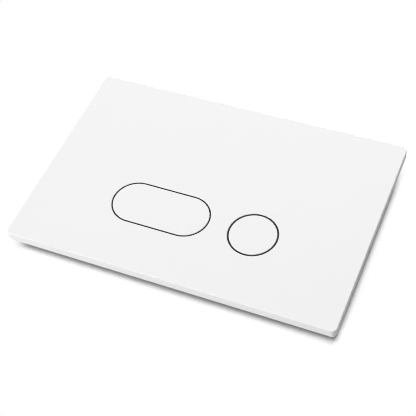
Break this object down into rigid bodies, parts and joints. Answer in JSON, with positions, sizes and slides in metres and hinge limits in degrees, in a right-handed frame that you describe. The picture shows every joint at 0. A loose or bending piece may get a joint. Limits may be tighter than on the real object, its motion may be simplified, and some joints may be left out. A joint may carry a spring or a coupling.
{
  "type": "flush button plate",
  "caption": "Flush button plate for a concealed cistern: flat rectangular face with a shallow rim, a pill-shaped full-flush and a round half-flush button, clipped to a wall frame.",
  "frame": {"origin": "centre of the plate's outline on the wall plane, which the rear of the rubber pads touches", "axes": "+X along the long side towards the round button, +Y up the wall, +Z out of the wall through the face"},
  "size_m": [0.246, 0.164, 0.01],
  "materials": {
    "face_plastic": "fine satin moulded plastic, neutral white",
    "pin_plastic": "natural low-wear plastic",
    "carrier_plastic": "black moulded plastic",
    "frame_plastic": "grey moulded plastic",
    "screw_steel": "zinc-plated",
    "spring_steel": "drawn stainless wire and strip",
    "pad_rubber": "soft black rubber"
  },
  "bodies": {
    "plate": {"face_plate": "face_plastic", "full_flush_carrier": "carrier_plastic", "half_flush_carrier": "carrier_plastic", "carrier_screws": "screw_steel", "full_flush_spring_left": "spring_steel", "full_flush_spring_right": "spring_steel", "half_flush_spring": "spring_steel", "mounting_frame": "frame_plastic", "frame_clip_lower_left": "spring_steel", "frame_clip_lower_right": "spring_steel", "frame_clip_upper_left": "spring_steel", "frame_clip_upper_right": "spring_steel", "wall_pad_lower_left": "pad_rubber", "wall_pad_lower_right": "pad_rubber", "wall_pad_upper_left": "pad_rubber", "wall_pad_upper_right": "pad_rubber"},
    "full_flush": {"full_flush_button": "face_plastic", "full_flush_push_pin": "pin_plastic"},
    "half_flush": {"half_flush_button": "face_plastic", "half_flush_push_pin": "pin_plastic"}
  },
  "joints": [
    {"name": "full_flush_press", "type": "slide", "parent": "plate", "child": "full_flush", "axis": [0, 0, -1], "range_m": [0, 0.0038], "stiffness_N_per_m": 800, "springref_m": -0.004, "deforming": ["full_flush_spring_left", "full_flush_spring_right"]},
    {"name": "half_flush_press", "type": "slide", "parent": "plate", "child": "half_flush", "axis": [0, 0, -1], "range_m": [0, 0.0038], "stiffness_N_per_m": 600, "springref_m": -0.004, "deforming": ["half_flush_spring"]}
  ]
}
